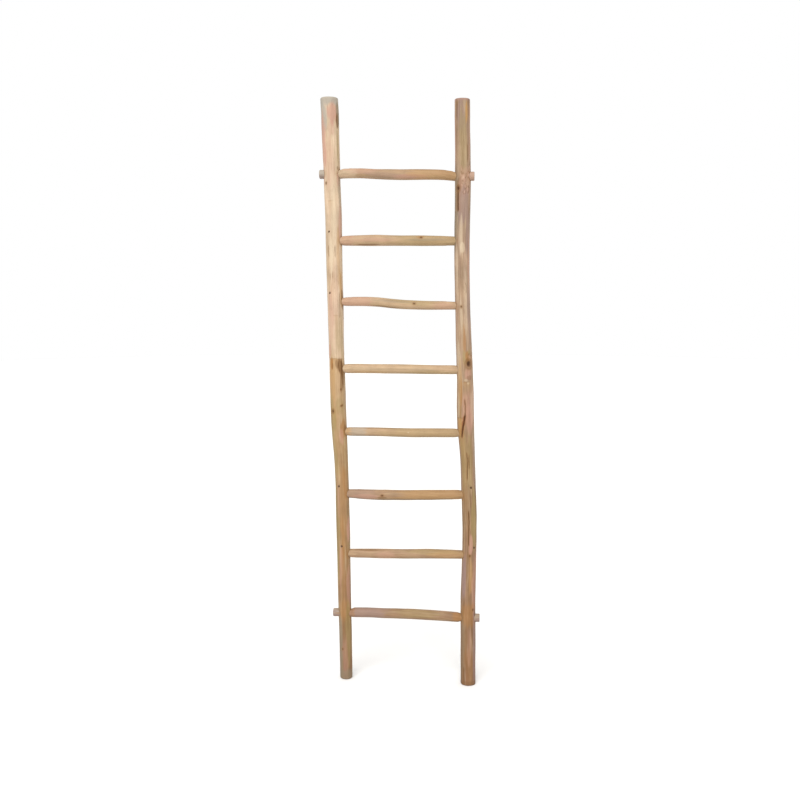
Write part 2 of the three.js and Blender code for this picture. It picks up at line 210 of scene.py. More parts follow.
# Each rail's marks in the order they are made, by the method of Marks that makes them.
LEFT_MARKS = {
    "flat": LEFT_FLATS, "step": LEFT_STEPS, "patch": LEFT_STAINS,
    "cleft": LEFT_CLEFTS, "knot": LEFT_KNOTS}
RIGHT_MARKS = {
    "flat": RIGHT_FLATS, "step": RIGHT_STEPS, "patch": RIGHT_STAINS, "lump": RIGHT_LUMPS,
    "cleft": RIGHT_CLEFTS, "knot": RIGHT_KNOTS}
# Rungs: tone from pale 0 to deep 1.2. Lengths are parts of the stretch between the rails, and
# faces run from -90 underneath to 90 on top.
RUNG_TONES = [0.6, 0.3, 0.22, 0.14, 0.42, 0.93, 0.8, 1.07]
# Knots: part, face, size, rise.
RUNG_KNOTS = [
    [(0.78, 160, 6, 1.4)], [(0.71, 35, 4, 0.5), (0.45, 190, 6, 1.2)],
    [(0.64, 20, 4, 0.5), (0.52, 200, 5, 1.0)], [(0.80, 170, 5, 0.9)], [(0.22, 150, 6, 1.1)],
    [(0.30, 5, 4, 0.8), (0.33, 140, 7, 1.4)], [(0.74, 185, 6, 1.0)], [(0.40, 165, 7, 1.5)],
]
# Stains: colour, part, face, half length, half width, strength.
RUNG_STAINS = [
    [(CREAM, 0.06, 0, 30, ROUND, 0.3), (ROSE, 0.2, 50, 55, 14, 0.3), (MAUVE, 0.4, -20, 60, 12, 0.3),
     (ROSE, 0.62, -30, 60, 9, 0.5), (GOLD, 0.88, 0, 100, ROUND, 0.4), (BROWN, 0.7, 66, 90, 4, 0.4),
     (ASH, -0.19, 0, 26, ROUND, 0.85), (MAUVE, -0.19, -70, 26, 14, 0.6),
     (ASH, 1.18, 20, 26, ROUND, 0.5), (ROSE, 1.18, 20, 26, ROUND, 0.4)],
    [(ROSE, 0.04, 0, 22, ROUND, 0.3), (OLIVE, 0.8, 30, 120, ROUND, 0.4),
     (BROWN, 0.22, -52, 36, 4, 0.6), (RUST, 0.7, 40, 12, 6, 0.4), (SLATE, 0.75, 8, 80, 4, 0.4),
     (ROSE, 0.3, 5, 70, 6, 0.3)],
    [(ROSE, 0.1, 20, 50, ROUND, 0.45), (OLIVE, 0.62, 50, 80, 14, 0.4),
     (BROWN, 0.4, -55, 36, 4, 0.6), (ROSE, 0.9, -20, 34, 16, 0.3), (SLATE, 0.45, 30, 60, 5, 0.35)],
    [(OLIVE, 0.75, -50, 90, 10, 0.4), (GOLD, 0.2, -45, 70, 6, 0.35), (SLATE, 0.6, 0, 110, 4, 0.25)],
    [(GOLD, 0.0, 0, 14, ROUND, 0.4), (ASH, 0.1, 0, 24, ROUND, 0.4), (CREAM, 0.56, 12, 3.5, 2.2, 0.75),
     (OLIVE, 0.7, 0, 130, ROUND, 0.35), (SLATE, 0.1, -60, 60, 8, 0.4),
     (BROWN, 0.35, 66, 60, 4, 0.4)],
    [(MAUVE, 0.08, 20, 50, ROUND, 0.3), (GOLD, 0.75, 10, 120, ROUND, 0.45),
     (SLATE, 0.5, -62, 160, 8, 0.6), (ROSE, 0.16, -20, 40, 10, 0.4), (BROWN, 0.3, -24, 16, 4, 0.5)],
    [(BROWN, 0.18, 62, 50, 4, 0.55), (ROSE, 0.33, -10, 34, 14, 0.3),
     (OLIVE, 0.75, 50, 90, 12, 0.4), (GOLD, 0.9, -10, 70, 18, 0.35)],
    [(MAUVE, 0.1, 0, 80, ROUND, 0.6), (OLIVE, 0.6, 30, 70, 20, 0.35),
     (RUST, 0.99, 0, 22, ROUND, 0.6), (RUST, 0.0, 0, 12, ROUND, 0.4),
     (ASH, -0.18, 40, 22, 24, 0.5), (MAUVE, -0.18, -50, 22, 20, 0.7),
     (ASH, 1.18, 30, 22, 24, 0.4), (MAUVE, 1.18, -60, 22, 16, 0.6)],
]


def linear(colour):
    """A #rrggbb sRGB colour as linear red, green, blue and alpha."""
    parts = [int(colour[i:i + 2], 16) / 255 for i in (1, 3, 5)]
    return [p / 12.92 if p <= 0.04045 else ((p + 0.055) / 1.055) ** 2.4 for p in parts] + [1.0]


def smooth(x, xs, ys):
    """Values at x of a curve through the points (xs, ys) that never overshoots them.

    Each stretch is a Hermite cubic. Its slope at a point is the harmonic mean of the chords
    on the point's two sides, and level where they differ in sign.
    """
    xs = np.asarray(xs, float)
    ys = np.asarray(ys, float).reshape(len(xs), -1)
    run = np.diff(xs)[:, None]
    chord = np.diff(ys, axis=0) / run
    product = chord[1:] * chord[:-1]
    total = np.where(product > 0, chord[1:] + chord[:-1], 1.0)
    inner = np.where(product > 0, 2 * product / total, 0.0)
    slope = np.vstack([chord[:1], inner, chord[-1:]])
    i = np.clip(np.searchsorted(xs, x) - 1, 0, len(xs) - 2)
    h = run[i]
    t = np.clip((x - xs[i])[:, None] / h, 0.0, 1.0)
    rise = ys[i + 1] - ys[i]
    bulge = slope[i] * (1 - t) - slope[i + 1] * t
    return ys[i] + rise * t * t * (3 - 2 * t) + h * t * (1 - t) * bulge


def ease(x):
    """0 below 0, 1 above 1, and 3x^2 - 2x^3 between."""
    x = np.clip(x, 0.0, 1.0)
    return x * x * (3 - 2 * x)


def lattice_noise(turn, length, cells, step, seed):
    """Smooth noise from -1 to 1 over a stick's surface.

    Seeded random values stand on a lattice that closes round the stick, with so many cells
    round it and one every step along it, and are eased between.
    """
    along = (length - length.min()) / step
    across = (turn % 1.0) * cells
    values = np.random.default_rng(seed).uniform(-1, 1, (int(along.max()) + 2, cells))
    row, column = along.astype(int), across.astype(int)
    down, over = ease(along - row), ease(across - column)
    left, right = column % cells, (column + 1) % cells
    near = values[row, left] * (1 - over) + values[row, right] * over
    far = values[row + 1, left] * (1 - over) + values[row + 1, right] * over
    return near * (1 - down) + far * down


def read_vectors(items, name):
    """A vector property of a mesh's vertices or faces, as an array of rows x, y, z."""
    values = np.empty(len(items) * 3, np.float32)
    items.foreach_get(name, values)
    return values.reshape(-1, 3).astype(float)


def bell(x, power=2):
    """1 at 0 and falling away on both sides: e to the minus x to the power."""
    return np.exp(-x ** power)


def frame_corners(node):
    """The corners of a node of the CAD frame."""
    return read_vectors(frame["nodes"][node].data.vertices, "co")


class Stick:
    """A grown stick, read from the section rings of its CAD node.

    A place on it is a length, the coordinate on the axis it runs along, and a turn, the part
    of a full turn round it from the first cross axis towards the second. A face is the same
    turn in degrees from the front of the ladder.
    """

    def __init__(self, node, along, sides):
        self.along = along
        self.across = [axis for axis in range(3) if axis != along]
        corners = np.unique(np.round(frame_corners(node), 5), axis=0)
        corners = corners[np.argsort(corners[:, along], kind="stable")]
        splits = np.flatnonzero(np.diff(corners[:, along]) > RING_GAP) + 1
        levels, centres, ovals = [], [], []
        for ring in np.split(corners, splits):
            flat = ring[:, self.across]
            centre = (flat.min(axis=0) + flat.max(axis=0)) / 2
            spokes = flat - centre
            turns = np.arctan2(spokes[:, 1], spokes[:, 0]) / (2 * math.pi)
            slots = np.round(turns * sides).astype(int) % sides
            if len(set(slots)) < sides:
                continue
            reach = np.empty(sides)
            reach[slots] = np.hypot(spokes[:, 0], spokes[:, 1])
            wave = np.fft.rfft(reach) / sides
            levels.append(ring[:, along].mean())
            centres.append(centre)
            ovals.append([wave[0].real, wave[2].real, wave[2].imag])
        self.levels, self.centres, self.ovals = np.array(levels), np.array(centres), np.array(ovals)
        self.start, self.end = self.levels[0], self.levels[-1]

    def tenon(self, side):
        """A rung's tip, shoulder, tenon centre and tenon radius, at the left for -1, right for 1."""
        tip, ring, shoulder = (0, 1, 2) if side < 0 else (-1, -2, -3)
        return self.levels[tip], self.levels[shoulder], self.centres[ring], self.ovals[ring, 0]

    def axis(self, length):
        """Where the stick's axis crosses each length, as rows of the two cross coordinates."""
        return smooth(length, self.levels, self.centres)

    def oval(self, length):
        """Mean radius and the oval's two terms at each length, bevels of the ends left out."""
        return smooth(length, self.levels[1:-1], self.ovals[1:-1])

    def radius(self, turn, length):
        """Mean radius plus a wave that goes twice round the stick."""
        mean, cosine, sine = np.moveaxis(self.oval(length.ravel()), 1, 0)
        angle = 4 * math.pi * turn.ravel()
        reach = mean + 2 * (cosine * np.cos(angle) - sine * np.sin(angle))
        return reach.reshape(length.shape)

    def face(self, turn):
        """Degrees from the front: to the right on an upright stick, upwards on a level one."""
        degrees = turn * 360 + 90 if self.along == ALONG_Z else 180 - turn * 360
        return (degrees + 180) % 360 - 180

    def points(self, turn, length, reach):
        """Points at a distance from the axis, as an array with one more dimension."""
        centre = self.axis(length.ravel()).reshape(*length.shape, 2)
        result = np.empty((*length.shape, 3))
        result[..., self.along] = length
        result[..., self.across[0]] = centre[..., 0] + reach * np.cos(2 * math.pi * turn)
        result[..., self.across[1]] = centre[..., 1] + reach * np.sin(2 * math.pi * turn)
        return result

    def place(self, points):
        """The turn, the length and the straightened position of points on the stick."""
        length = points[:, self.along]
        spokes = points[:, self.across] - self.axis(length)
        turn = np.arctan2(spokes[:, 1], spokes[:, 0]) / (2 * math.pi) % 1.0
        return turn, length, np.column_stack([spokes, length - self.start])


def rung_sticks():
    """Every rung of the frame, in the order of their numbers."""
    return [Stick(f"rung_{number}", ALONG_X, RUNG_SIDES) for number in RUNGS]


def arc(face, at, radius):
    """Distance in mm round a stick, from the line at a face to each face."""
    return np.radians((face - at + 180) % 360 - 180) * radius


class Marks:
    """Collects what marks do to a stick's surface: relief in mm, and stains as a colour laid
    on the wood with the part it covers."""

    def __init__(self, stick, turn, length):
        self.face = stick.face(turn)
        self.height = length / MM
        self.radius = stick.oval(length.ravel())[:, 0].reshape(length.shape) / MM
        self.ragged = lattice_noise(turn, length, 16, 9 * MM, 5)
        self.feather = lattice_noise(turn, length, 34, 50 * MM, 6)
        self.torn = lattice_noise(turn, length, 46, 4 * MM, 7)
        self.relief = np.zeros(length.shape)
        self.stains = np.zeros((*length.shape, 4))

    def away(self, height, face, tall, wide):
        """How far places lie from a mark's middle, in its half heights and half widths."""
        return np.hypot((self.height - height) / tall, arc(self.face, face, self.radius) / wide)

    def stain(self, colour, amount):
        """Lays a colour over what is there, like paint: its part of the new, the rest of the old."""
        amount = np.clip(amount, 0, 1)[..., None]
        self.stains = self.stains * (1 - amount) + np.array(linear(colour)) * amount

    def knot(self, height, face, size, rise):
        """A collar shaped as a bell with a narrower bell sunk in its middle, and a dark rim.

        It is 1.4 times as tall as it is wide.
        """
        distance = self.away(height, face, 1.4, 1) / size
        self.relief += rise * (np.exp(-distance ** 2 / 2.2) - 1.8 * bell(distance / 0.5, 4))
        self.stain(RUST, 0.6 * bell(distance / 1.2))
        self.stain(BROWN, 0.45 * bell((distance - 0.95) / 0.25))
        # Partly painted shade: the sunk middle is darkened nearly black for the shade of its hollow, over
        # the knot's own dark wood.
        self.stain(DARK_WOOD_AND_SHADE, 0.92 * bell(distance / 0.62, 4))

    def lump(self, height, face, half_height, half_width, rise):
        """A bulge shaped as a long bell, pale on its crest, with a dark, broken line
        round it."""
        distance = self.away(height, face, half_height, half_width) + 0.3 * self.ragged + 0.35 * self.torn
        self.relief += rise * (bell(distance) - 0.45 * bell((distance - 1.25) / 0.3))
        self.stain(BROWN, 0.6 * ease(0.6 + 0.7 * self.torn) * bell((distance - 1.2) / 0.3))
        self.stain(ROSE, 0.4 * bell(distance / 0.8))
        self.stain(CREAM, 0.3 * ease(0.5 + self.torn) * bell(distance / 0.6))

    def cleft(self, path, half_width, depth):
        """A groove along a path: a bell across it, eased away over its last 12 mm."""
        heights, faces = np.array(path[::-1], float).T
        middle = smooth(self.height.ravel(), heights, faces).reshape(self.height.shape)
        over = arc(self.face, middle, self.radius) + 0.4 * self.ragged
        ends = np.minimum(self.height - heights[0], heights[-1] - self.height)
        part = ease((ends + 6) / 12)
        groove = bell(over / half_width) * part
        self.relief -= depth * groove
        self.stain(RUST, min(0.5, 0.25 * depth) * bell(over / (2.5 * half_width)) * part)
        # Partly painted shade: the groove's floor is darkened more the deeper it is, for the shade in the
        # crack as well as the dark wood in it.
        self.stain(DARK_WOOD_AND_SHADE, min(0.92, 0.5 + 0.15 * depth) * groove)

    def step(self, height, face, half_width, drop, fade):
        """A layer of wood ends: the surface drops below a ragged line and comes back slowly.

        The wood laid bare below the line is darker and more golden.
        """
        below = height + 1.5 * self.ragged - self.height
        over = np.abs(arc(self.face, face, self.radius)) / half_width
        here = ease(3 * (1.15 - over)) * ease(below / 2.5)
        below = np.clip(below, 0, None)
        self.relief -= drop * here * np.exp(-below / fade)
        self.stain(GOLD, 0.6 * min(1, drop) * here * np.exp(-below / (2.5 * fade)))
        self.stain(BROWN, 0.55 * here * np.exp(-below / 3))

    def mouth(self, stick, rung, turn, length):
        """The rim of a rung's socket: a rusty halo, and a dark line at the tenon that is painted shade of
        the gap round it.

        It lies on the side towards the rungs, and on the far side too where the tenon comes out.
        """
        points = stick.points(turn, length, self.radius * MM)
        side = -1 if points[..., 0].mean() < 0 else 1
        tip, _, centre, radius = rung.tenon(side)
        gap = np.hypot(points[..., 1] - centre[0], points[..., 2] - centre[1]) / MM
        gap = np.clip(gap - radius / MM + 0.8 * self.ragged, 0, None)
        inwards = -side * np.sin(np.radians(self.face))
        level = np.array([centre[1]])
        far_side = stick.axis(level)[0, 0] + side * stick.oval(level)[0, 0]
        if side * (tip - far_side) > 0:
            inwards = np.abs(inwards)
        shown = ease(1.5 * inwards)
        self.stain(RUST, 0.5 * shown * bell(gap / 7))
        # Painted shade: the dark line round the tenon stands for the shade in the socket's gap.
        self.stain(BROWN, 0.75 * shown * bell(gap / 2))

    def flat(self, height, face, half_height, depth):
        """A drawknife cut: the surface comes no further out than a plane across the stick."""
        along = np.clip(1 - ((self.height - height) / half_height) ** 2, 0, None)
        angle = np.radians((self.face - face + 180) % 360 - 180)
        plane = (self.radius - depth * np.sqrt(along)) / np.clip(np.cos(angle), 0.3, None)
        here = (along > 0) & (np.abs(angle) < 1.2)
        self.relief = np.where(here, np.minimum(self.relief, plane - self.radius), self.relief)

    def patch(self, colour, height, face, half_height, half_width, strength):
        """An oval of stain with soft edges, feathered along the grain."""
        distance = self.away(height, face, half_height, half_width)
        self.stain(colour, strength * ease(2.0 * (1.25 - distance + 0.35 * self.feather)))

    def swell(self, turn, length, seed):
        """The uneven growth and peeling of the whole stick, as noise of three sizes."""
        for place, (rise, cells, step) in enumerate([(0.40, 3, 90), (0.25, 7, 45), (0.08, 26, 24)]):
            self.relief += rise * lattice_noise(turn, length, cells, step * MM, seed + place)


def skin_rows(start, end, bevel, step):
    """The rows of a stick's skin from pole to pole: length, inset from the side, and shrink.

    A flat end grows from its middle out to the rim, the rim is a quarter circle as deep as
    the bevel, and the side runs in even steps to the other end's rim and flat.
    """
    shrink = np.array([0.2, 0.4, 0.6, 0.78, 0.92])
    flat, rim = len(shrink), 6
    quarter = np.radians(np.linspace(0, 90, rim))
    inset = bevel * (1 - np.sin(quarter))
    rise = bevel * (1 - np.cos(quarter))
    count = int((end - start - 2 * bevel) / step)
    side = np.linspace(start + bevel, end - bevel, count)[1:-1]
    length = np.concatenate([[start] * flat, start + rise, side, end - rise[::-1], [end] * flat])
    inset = np.concatenate([[bevel] * flat, inset, 0 * side, inset[::-1], [bevel] * flat])
    shrink = np.concatenate([shrink, np.ones(len(side) + 2 * rim), shrink[::-1]])
    return length, inset, shrink


def skin_mesh(name, rows, poles):
    """A closed mesh from rows of points round a stick: quads between rows, fans at the poles."""
    count, columns = rows.shape[:2]
    points = np.vstack([rows.reshape(-1, 3), poles])
    ring = np.arange(columns)
    after = (ring + 1) % columns
    base = (np.arange(count - 1) * columns)[:, None]
    quads = np.stack([base + ring, base + after, base + columns + after, base + columns + ring], axis=-1)
    last = (count - 1) * columns
    bottom = np.column_stack([after, ring, np.full(columns, len(points) - 2)])
    top = np.column_stack([last + ring, last + after, np.full(columns, len(points) - 1)])
    mesh = bpy.data.meshes.new(name)
    mesh.from_pydata(points, [], quads.reshape(-1, 4).tolist() + bottom.tolist() + top.tolist())
    mesh.update()
    return mesh


def add_object(name, data):
    obj = bpy.data.objects.new(name, data)
    bpy.context.scene.collection.objects.link(obj)
    return obj


def stick_object(name, stick, skin, bevel, mark):
    """A stick's skin: its radius plus the relief of its marks, rounded over at both ends."""
    columns, step = skin
    length, inset, shrink = skin_rows(stick.start, stick.end, bevel, step)
    turn, lengths = np.meshgrid(np.arange(columns) / columns, length)
    reach = stick.radius(turn, lengths) + mark(stick, turn, lengths).relief * MM
    rows = stick.points(turn, lengths, shrink[:, None] * (reach - inset[:, None]))
    ends = np.array([stick.start, stick.end])
    poles = stick.points(np.zeros(2), ends, np.zeros(2))
    return add_object(name, skin_mesh(name, rows, poles))


def turned_object(name, foot, head, profile, sides):
    """A surface of revolution: a profile of (radius, distance from the head), pole to pole.

    The profile is carried round the line from the foot to the head.
    """
    up = (head - foot) / np.linalg.norm(head - foot)
    sideways = np.cross(up, [0.0, 0.0, 1.0] if abs(up[2]) < 0.9 else [1.0, 0.0, 0.0])
    sideways /= np.linalg.norm(sideways)
    forward = np.cross(up, sideways)
    radius, rise = np.array(profile[1:-1]).T
    angle = 2 * math.pi * np.arange(sides) / sides
    spoke = np.cos(angle)[:, None] * sideways + np.sin(angle)[:, None] * forward
    rows = head + rise[:, None, None] * up + radius[:, None, None] * spoke[None]
    poles = head + np.array([profile[0][1], profile[-1][1]])[:, None] * up
    return add_object(name, skin_mesh(name, rows, poles))


def cylinder(radius, depth):
    """The profile of a cylinder that goes down from its head."""
    return [(0, -depth), (radius, -depth), (radius, 0), (0, 0)]


def nail_line(node):
    """The head's middle, the point and the length of a CAD nail.

    The point is the vertex farthest from the others, and the head's rim is what lies
    farthest from the point.
    """
    corners = frame_corners(node)
    point = corners[np.argmax(np.linalg.norm(corners - corners.mean(axis=0), axis=1))]
    away = np.linalg.norm(corners - point, axis=1)
    rim = np.unique(np.round(corners[away > 0.99 * away.max()], 5), axis=0)
    head = (rim.min(axis=0) + rim.max(axis=0)) / 2
    return head, point, np.linalg.norm(head - point)


def carve(piece, cutters):
    """Cuts the cutters out of a piece, which becomes the finished mesh, and removes them."""
    for cutter in cutters:
        modifier = piece.modifiers.new("carve", "BOOLEAN")
        modifier.operation = "DIFFERENCE"
        modifier.solver = "MANIFOLD"
        modifier.object = cutter
    bpy.context.view_layer.update()
    evaluated = piece.evaluated_get(bpy.context.evaluated_depsgraph_get())
    carved = bpy.data.meshes.new_from_object(evaluated)
    if not len(carved.vertices):
        raise RuntimeError(f"{piece.name}: the cut left nothing")
    piece.modifiers.clear()
    piece.data = carved
    carved.name = piece.name
    for cutter in cutters:
        bpy.data.objects.remove(cutter)


def joined(name, objects):
    """One object of several that don't touch."""
    vertices = [read_vectors(obj.data.vertices, "co") for obj in objects]
    faces = []
    first = 0
    for obj, corners in zip(objects, vertices):
        faces += [[first + v for v in polygon.vertices] for polygon in obj.data.polygons]
        first += len(corners)
        bpy.data.objects.remove(obj)
    mesh = bpy.data.meshes.new(name)
    mesh.from_pydata(np.vstack(vertices), [], faces)
    return add_object(name, mesh)


def rail_marks(table, seed):
    """The function that puts one rail's marks on places of its surface."""
    rungs = rung_sticks()

    def mark(stick, turn, length):
        marks = Marks(stick, turn, length)
        marks.swell(turn, length, seed)
        for rung in rungs:
            marks.mouth(stick, rung, turn, length)
        for kind, rows in table.items():
            for row in rows:
                getattr(marks, kind)(*row)
        return marks
    return mark


def rung_marks(number, stick):
    """The function that puts one rung's marks on places of its surface.

    The branch is as it grew between its shoulders, and whittled at them.
    """
    first, last = stick.tenon(-1)[1] / MM, stick.tenon(1)[1] / MM
    whittle = np.random.default_rng(number).uniform(0, 360, 2)

    def mark(stick, turn, length):
        marks = Marks(stick, turn, length)
        marks.swell(turn, length, 100 * number)
        marks.relief *= ease((marks.height - first) / 25) * ease((last - marks.height) / 25)
        for colour, part, *rest in RUNG_STAINS[number - 1]:
            marks.patch(colour, first + part * (last - first), *rest)
        for part, *rest in RUNG_KNOTS[number - 1]:
            marks.knot(first + part * (last - first), *rest)
        for end, start_face in zip((first + 12, last - 12), whittle):
            for cut in range(SHOULDER_CUTS):
                marks.flat(end, start_face + 51 * cut, 17, 0.9)
        return marks
    return mark


def add_attributes(obj, stick, mark, tone=0.0):
    """Gives each vertex what the wood materials read.

    grain is the vertex's place on the stick laid straight, with its length as the third number.
    stains are the colour its marks lay on it with the part they cover, and tone is the stick's
    own depth of colour.
    """
    turn, length, straight = stick.place(read_vectors(obj.data.vertices, "co"))
    stains = mark(stick, turn, length).stains
    for name, kind, key, values in (
            ("grain", "FLOAT_VECTOR", "vector", straight), ("stains", "FLOAT_COLOR", "color", stains),
            ("tone", "FLOAT", "value", np.full(len(turn), tone))):
        obj.data.attributes.new(name, kind, "POINT").data.foreach_set(key, values.ravel())


def finish_stick(obj, stick, node, side, end):
    """Shades a stick smooth, gives its flat ends the end-grain material, and names its body."""
    mesh = obj.data
    mesh.materials.clear()
    mesh.materials.append(side)
    mesh.materials.append(end)
    facing = np.abs(read_vectors(mesh.polygons, "normal")[:, stick.along]) > END_FACING
    along = read_vectors(mesh.polygons, "center")[:, stick.along]
    outermost = (along < stick.start + END_DEPTH) | (along > stick.end - END_DEPTH)
    mesh.polygons.foreach_set("material_index", (facing & outermost).astype(np.int32))
    mesh.polygons.foreach_set("use_smooth", np.ones(len(mesh.polygons), bool))
    mesh.set_sharp_from_angle(angle=SHARP)
    mesh.update()
    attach(obj, "root")
    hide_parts(node)


def add_node(tree, kind, inputs=(), stops=(), **settings):
    """Adds a shader node of a kind, named without the ShaderNode it starts with.

    inputs pairs a socket's name or number with a value, an output, or a node, which stands for
    its first output in use. stops are a colour ramp's, each a position and a linear colour.
    """
    node = tree.nodes.new("ShaderNode" + kind)
    for name, value in settings.items():
        setattr(node, name, value)
    for place, (position, colour) in enumerate(stops):
        elements = node.color_ramp.elements
        element = elements[place] if place < 2 else elements.new(position)
        element.position, element.color = position, colour
    for socket, value in dict(inputs).items():
        if isinstance(value, bpy.types.Node):
            value = next(output for output in value.outputs if output.enabled)
        if isinstance(value, bpy.types.NodeSocket):
            tree.links.new(value, node.inputs[socket])
        else:
            node.inputs[socket].default_value = value
    return node


def new_material(name):
    """An empty material and its node tree."""
    material = bpy.data.materials.new(name)
    material.use_nodes = True
    material.node_tree.nodes.clear()
    return material, material.node_tree


def end_material(material, height, strength, depth, inputs):
    """Ends a material with a shader that has these inputs, embossed by a height."""
    tree = material.node_tree
    bump = add_node(tree, "Bump", {"Height": height, "Strength": strength, "Distance": depth})
    shader = add_node(tree, "BsdfPrincipled", {**inputs, "Normal": bump})
    add_node(tree, "OutputMaterial", {"Surface": shader})
    return material


# Lengthwise streaks of peeled teak: width and length in mm, where the noise starts and stops
# counting, colour, strength. The finest real fibres are under a millimetre wide. They are
# drawn two to four times as coarse, so that they show from a few metres away.
POLE_STREAKS = [
    (26, 420, 0.48, 0.70, "#97774b", 0.38),
    (14, 300, 0.50, 0.72, "#8f7f56", 0.36),
    (9, 220, 0.52, 0.70, "#7a5c3c", 0.30),
    (5, 160, 0.50, 0.66, "#c6b291", 0.30),
    (3, 110, 0.50, 0.68, "#6c5034", 0.26),
]
WEATHERED_STREAKS = [
    (22, 380, 0.47, 0.66, "#86694a", 0.42),
    (13, 260, 0.48, 0.68, "#8b6c5c", 0.42),
    (8, 190, 0.50, 0.66, "#65492f", 0.38),
    (6, 140, 0.50, 0.64, "#b8a283", 0.34),
    (3, 90, 0.50, 0.66, "#553c28", 0.34),
]
RUNG_STREAKS = [
    (16, 220, 0.48, 0.70, "#a98168", 0.28),
    (10, 180, 0.50, 0.70, "#8b7145", 0.28),
    (6, 130, 0.50, 0.66, "#857760", 0.22),
    (3.5, 90, 0.50, 0.68, "#735536", 0.18),
    (3, 80, 0.50, 0.66, "#c4b08c", 0.22),
]


def grain_scale(width, length):
    """What turns a place on the grain into streaks of a width and length in mm."""
    return 1 / (width * MM), 1 / (width * MM), 1 / (length * MM)


def peeled_wood(name, drift, stops, streaks, roughness, relief):
    """A bare wood, from its base colour to its gloss.

    The base colour is a ramp along the stick, from the stick's own tone on, pushed to and fro by
    soft noise. drift holds that noise's size and push, how much each metre adds, and where
    the ramp starts and ends. Streaks are noises stretched along the grain. Over them lie the
    stains of the stick's marks, then pores, the short dark dashes of teak's open vessels. Fibres
    and pores emboss the surface and break up its gloss.
    """
    material, tree = new_material(name)
    grain = add_node(tree, "Attribute", attribute_name="grain").outputs["Vector"]
    tone = add_node(tree, "Attribute", attribute_name="tone").outputs["Fac"]
    size, push, slope, start, end = drift
    split = add_node(tree, "SeparateXYZ", {0: grain})
    deepen = add_node(tree, "Math", {0: split.outputs[2], 1: slope, 2: tone}, operation="MULTIPLY_ADD")
    wander = add_node(tree, "TexNoise", {"Vector": grain, "Scale": 1 / size, "Detail": 1.0})
    level = add_node(tree, "Math", {0: wander, 1: push, 2: deepen}, operation="MULTIPLY_ADD")
    part = add_node(tree, "MapRange", {"Value": level, "From Min": start, "From Max": end})
    colour = add_node(tree, "ValToRGB", {0: part}, stops)

    for number, (width, length, low, high, tint, strength) in enumerate(streaks):
        apart = (3.1 * number + 1, 0.7 * number, 1.9 * number)
        stretched = add_node(tree, "Mapping", {
            "Vector": grain, "Scale": grain_scale(width, length), "Location": apart})
        fibre = add_node(tree, "TexNoise", {
            "Vector": stretched, "Scale": 1.0, "Detail": 3.0, "Roughness": 0.55})
        amount = add_node(tree, "MapRange", {
            "Value": fibre, "From Min": low, "From Max": high, "To Max": strength})
        colour = add_node(tree, "Mix", {0: amount, 6: colour, 7: linear(tint)}, data_type="RGBA")

    blotch = add_node(tree, "TexNoise", {"Vector": grain, "Scale": 1 / (45 * MM), "Detail": 2.0})
    lift = add_node(tree, "MapRange", {
        "Value": blotch, "From Min": 0.3, "From Max": 0.7, "To Min": 0.9, "To Max": 1.1})
    colour = add_node(
        tree, "Mix", {0: 1.0, 6: colour, 7: lift}, data_type="RGBA", blend_type="MULTIPLY")

    stains = add_node(tree, "Attribute", attribute_name="stains")
    bare = add_node(tree, "Math", {0: 1.0, 1: stains.outputs["Alpha"]}, operation="SUBTRACT")
    shown = add_node(tree, "Mix", {0: 1.0, 6: colour, 7: bare}, data_type="RGBA", blend_type="MULTIPLY")
    colour = add_node(
        tree, "Mix", {0: 1.0, 6: shown, 7: stains.outputs["Color"]}, data_type="RGBA", blend_type="ADD")

    dashes = add_node(tree, "Mapping", {"Vector": grain, "Scale": grain_scale(1.4, 18)})
    pores = add_node(tree, "TexNoise", {"Vector": dashes, "Scale": 1.0, "Detail": 1.0})
    pore = add_node(tree, "MapRange", {"Value": pores, "From Min": 0.60, "From Max": 0.72, "To Max": 0.2})
    colour = add_node(tree, "Mix", {0: pore, 6: colour, 7: linear("#6b4c33")}, data_type="RGBA")

    gloss = add_node(tree, "MapRange", {
        "Value": fibre, "From Min": 0.3, "From Max": 0.7,
        "To Min": roughness - 0.08, "To Max": roughness + 0.1})
    groove = add_node(tree, "Math", {0: fibre, 1: pore}, operation="SUBTRACT")
    # The surface of dry wood is broken up by open fibres, so it shines less than its cell walls.
    return end_material(material, groove, 0.6, relief * MM, {
        "Base Color": colour, "Roughness": gloss, "IOR": WOOD_IOR, "Specular IOR Level": 0.2})


def pole_wood(name, look, streaks, roughness):
    """Peeled teak pole, unvarnished: cream where it grew high up, golden to brown at the foot.

    The eye gets a matt, dry wood with long streaks.
    """
    push = 120 * MM
    height = frame["record"]["size"]["bbox_m"][2]
    stops = [(0.04, look.foot_colour), (0.20, look.low_colour), (0.43, look.middle_colour),
             (0.62, look.high_colour), (0.93, look.top_colour)]
    drift = (70 * MM, push, 1.0, push / 2, height + push / 2)
    return peeled_wood(name, drift, stops, streaks, roughness, 0.5)


def rung_wood(look):
    """Sanded teak branch, unvarnished: smoother and more even than the poles.

    Each rung's own tone runs from cream to golden brown, and deepens a little to the right.
    """
    stops = [(0.13, look.pale_colour), (0.5, look.golden_colour), (1.0, look.deep_colour)]
    drift = (60 * MM, 0.3, 0.8, 0.0, 1.5)
    return peeled_wood("sanded_teak_branch", drift, stops, RUNG_STREAKS, 0.55, 0.3)


